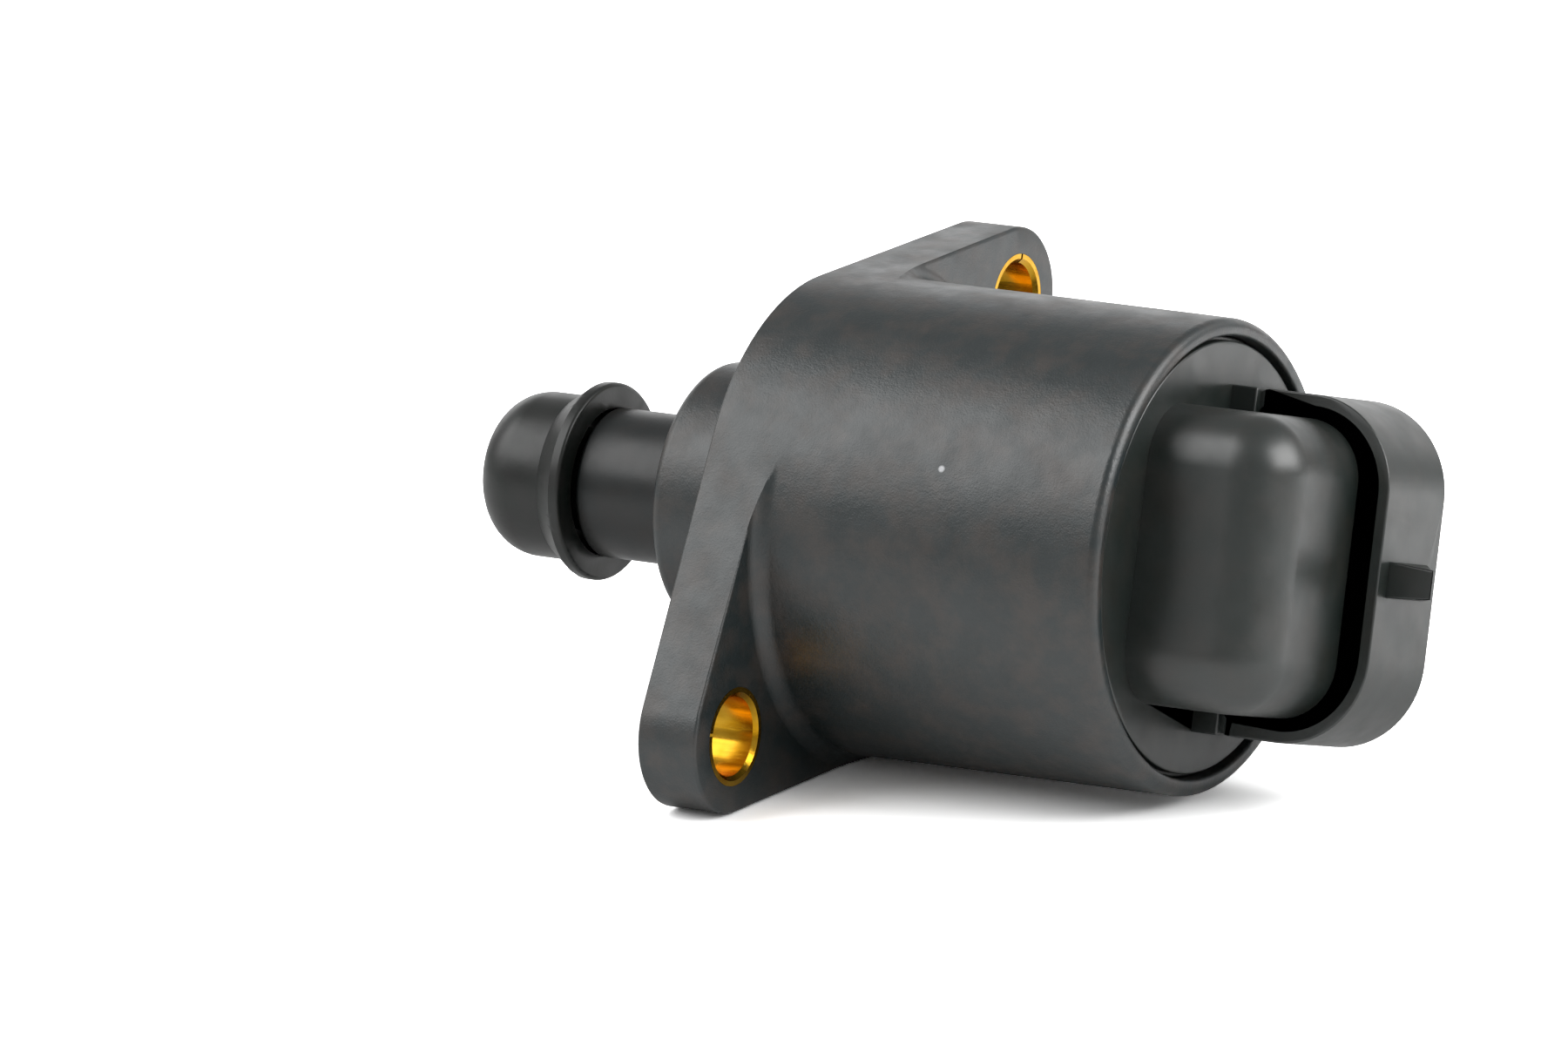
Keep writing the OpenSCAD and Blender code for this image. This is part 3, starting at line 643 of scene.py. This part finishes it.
def end_tree(group, inputs, outputs, detail):
    join = add(group, "GeometryNodeJoinGeometry")
    real = add(group, "GeometryNodeRealizeInstances")
    finish = add(group, "GeometryNodeSetMaterial")
    group.links.new(inputs.outputs["Solid"], join.inputs[0])
    group.links.new(detail, join.inputs[0])
    group.links.new(join.outputs[0], real.inputs[0])
    group.links.new(real.outputs[0], finish.inputs["Geometry"])
    group.links.new(inputs.outputs["Finish"], finish.inputs["Material"])
    group.links.new(finish.outputs[0], outputs.inputs[0])


def wire_tree():
    group, inputs, outputs = grown_tree(
        "wire_turns", [("Turns", "NodeSocketInt"), ("First turn", "NodeSocketVector"),
                       ("Step", "NodeSocketVector"), ("Ring radius", "NodeSocketFloat"),
                       ("Wire radius", "NodeSocketFloat")])
    link = group.links.new
    places = add(group, "GeometryNodeMeshLine", mode="OFFSET")
    link(inputs.outputs["Turns"], places.inputs["Count"])
    link(inputs.outputs["First turn"], places.inputs["Start Location"])
    link(inputs.outputs["Step"], places.inputs["Offset"])
    ring = add(group, "GeometryNodeCurvePrimitiveCircle", in_Resolution=RING_SIDES)
    link(inputs.outputs["Ring radius"], ring.inputs["Radius"])
    wire = add(group, "GeometryNodeCurvePrimitiveCircle", in_Resolution=WIRE_SIDES)
    link(inputs.outputs["Wire radius"], wire.inputs["Radius"])
    swept = add(group, "GeometryNodeCurveToMesh")
    link(ring.outputs[0], swept.inputs["Curve"])
    link(wire.outputs[0], swept.inputs["Profile Curve"])
    turned = add(group, "GeometryNodeTransform", in_Rotation=ON_TO_AXIS)
    link(swept.outputs[0], turned.inputs["Geometry"])
    copies = add(group, "GeometryNodeInstanceOnPoints")
    link(places.outputs[0], copies.inputs["Points"])
    link(turned.outputs[0], copies.inputs["Instance"])
    end_tree(group, inputs, outputs, copies.outputs[0])
    return group


def thread_tree():
    group, inputs, outputs = grown_tree(
        "cut_thread", [("Turns", "NodeSocketFloat"), ("Length", "NodeSocketFloat"),
                       ("Start", "NodeSocketVector"), ("Middle radius", "NodeSocketFloat"),
                       ("Ridge", "NodeSocketFloat"), ("Ridge shape", "NodeSocketVector")])
    link = group.links.new
    spiral = add(group, "GeometryNodeCurveSpiral", in_Resolution=THREAD_SIDES, in_Reverse=True)
    link(inputs.outputs["Turns"], spiral.inputs["Rotations"])
    link(inputs.outputs["Length"], spiral.inputs["Height"])
    link(inputs.outputs["Middle radius"], spiral.inputs["Start Radius"])
    link(inputs.outputs["Middle radius"], spiral.inputs["End Radius"])
    upright = add(group, "GeometryNodeSetCurveNormal", mode="Z_UP")
    link(spiral.outputs[0], upright.inputs["Curve"])
    ridge = add(group, "GeometryNodeCurvePrimitiveCircle", in_Resolution=TRIANGLE)
    link(inputs.outputs["Ridge"], ridge.inputs["Radius"])
    widened = add(group, "GeometryNodeTransform")
    link(ridge.outputs[0], widened.inputs["Geometry"])
    link(inputs.outputs["Ridge shape"], widened.inputs["Scale"])
    swept = add(group, "GeometryNodeCurveToMesh", in_Fill_Caps=True)
    link(upright.outputs[0], swept.inputs["Curve"])
    link(widened.outputs[0], swept.inputs["Profile Curve"])
    turned = add(group, "GeometryNodeTransform", in_Rotation=ON_TO_AXIS)
    link(inputs.outputs["Start"], turned.inputs["Translation"])
    link(swept.outputs[0], turned.inputs["Geometry"])
    end_tree(group, inputs, outputs, turned.outputs[0])
    return group


def grown(bm, tree, values, body, node, material):
    piece = shown(node + "_skin", bm, material)
    growth = piece.modifiers.new("growth", "NODES")
    growth.node_group = tree
    values["Finish"] = material
    for item in tree.interface.items_tree:
        if item.in_out == "INPUT" and item.name in values:
            growth[item.identifier] = values[item.name]
    plain_copy(piece)
    dress(piece, node, body)
    return piece


turns_tree, thread = wire_tree(), thread_tree()
print("trees", turns_tree.name, thread.name)

# %% [markdown]
# The windings
#
# Each winding has round shoulders, and its turns lie side by side between them, a little more than
# half sunk into the ring. The ring's own reach gives the place and the radius of the turns.

# %% Wind the wire
TURNS = 18
WIRE_STEP = 0.22 * MM
WIRE_RADIUS = 0.105 * MM
WIRE_SUNK = 0.03 * MM
SHOULDER = 0.65 * MM

for node in ("winding_front", "winding_rear"):
    bm = merged(node)
    first = min(v.co.x for v in bm.verts) + SHOULDER
    reach = max(radius(v) for v in bm.verts)
    grown(bm, turns_tree,
          {"Turns": TURNS, "First turn": (first, 0, 0), "Step": (WIRE_STEP, 0, 0),
           "Ring radius": reach - WIRE_SUNK, "Wire radius": WIRE_RADIUS},
          "valve_body", node, copper_wire)

# %% [markdown]
# The lead screw
#
# The thread has a lead of one millimetre, as the joint that couples the screw to the rotor says.
# For its core, the plain rod behind the flats is drawn in. The crest of the thread then takes the
# rod's old radius.

# %% Cut the thread
ROD_RADIUS = 1.5 * MM
CORE_RADIUS = 1.12 * MM
LEAD = 1.0 * MM
THREAD_TURNS = 20
RIDGE = 0.36 * MM
RIDGE_SHAPE = (1.0, 1.25, 1.0)
PLAIN_END = 0.6 * MM
SLACK = 0.1 * MM

bm = merged("lead_screw")
tip = max(v.co.x for v in bm.verts)
flats_end = max(v.co.x for v in bm.verts if radius(v) > ROD_RADIUS + SLACK)
for v in bm.verts:
    if v.co.x > flats_end - SLACK and radius(v) < ROD_RADIUS + SLACK:
        v.co.yz = v.co.yz * (CORE_RADIUS / ROD_RADIUS)
screw = grown(bm, thread,
              {"Turns": float(THREAD_TURNS), "Length": THREAD_TURNS * LEAD,
               "Start": (tip - THREAD_TURNS * LEAD - PLAIN_END, 0, 0),
               "Middle radius": ROD_RADIUS - RIDGE, "Ridge": RIDGE,
               "Ridge shape": RIDGE_SHAPE},
              "plunger", "lead_screw", screw_steel)
crest = max(radius(v) for v in screw.data.vertices if v.co.x > flats_end + LEAD)
print("thread crest", round(crest / MM, 3), "mm, core", CORE_RADIUS / MM, "mm")

# %% [markdown]
# The other pieces
#
# The bushings and the rest of the inside keep their CAD shapes and only need a finish.

# %% Give every remaining piece its finish
FINISHES = (
    (bright_brass, ("bushing_upper", "bushing_lower", "bearing_cage", "rotor_nut")),
    (race_steel, ("bearing_outer_race", "bearing_inner_race", "bearing_balls")),
    (sheet_steel, ("front_plate", "stator_cup_front", "stator_plate_front",
                   "stator_plate_rear", "stator_cup_rear")),
    (pale_nylon, ("bobbin_front", "bobbin_rear", "rotor_hub", "thrust_washer")),
    (dark_ferrite, ("rotor_magnet",)),
    (screw_steel, ("disc_spring",)),
    (sintered_bronze, ("rear_bush",)),
    (seal_rubber, ("cap_seal",)),
    (tinned_brass, ("coil_pins", "terminal_1", "terminal_2", "terminal_3", "terminal_4")),
)

for finish, names in FINISHES:
    for node in names:
        mesh = nodes[node].data
        mesh.materials.clear()
        mesh.materials.append(finish)
print("finished", sum(len(names) for _, names in FINISHES), "carried-over solids")
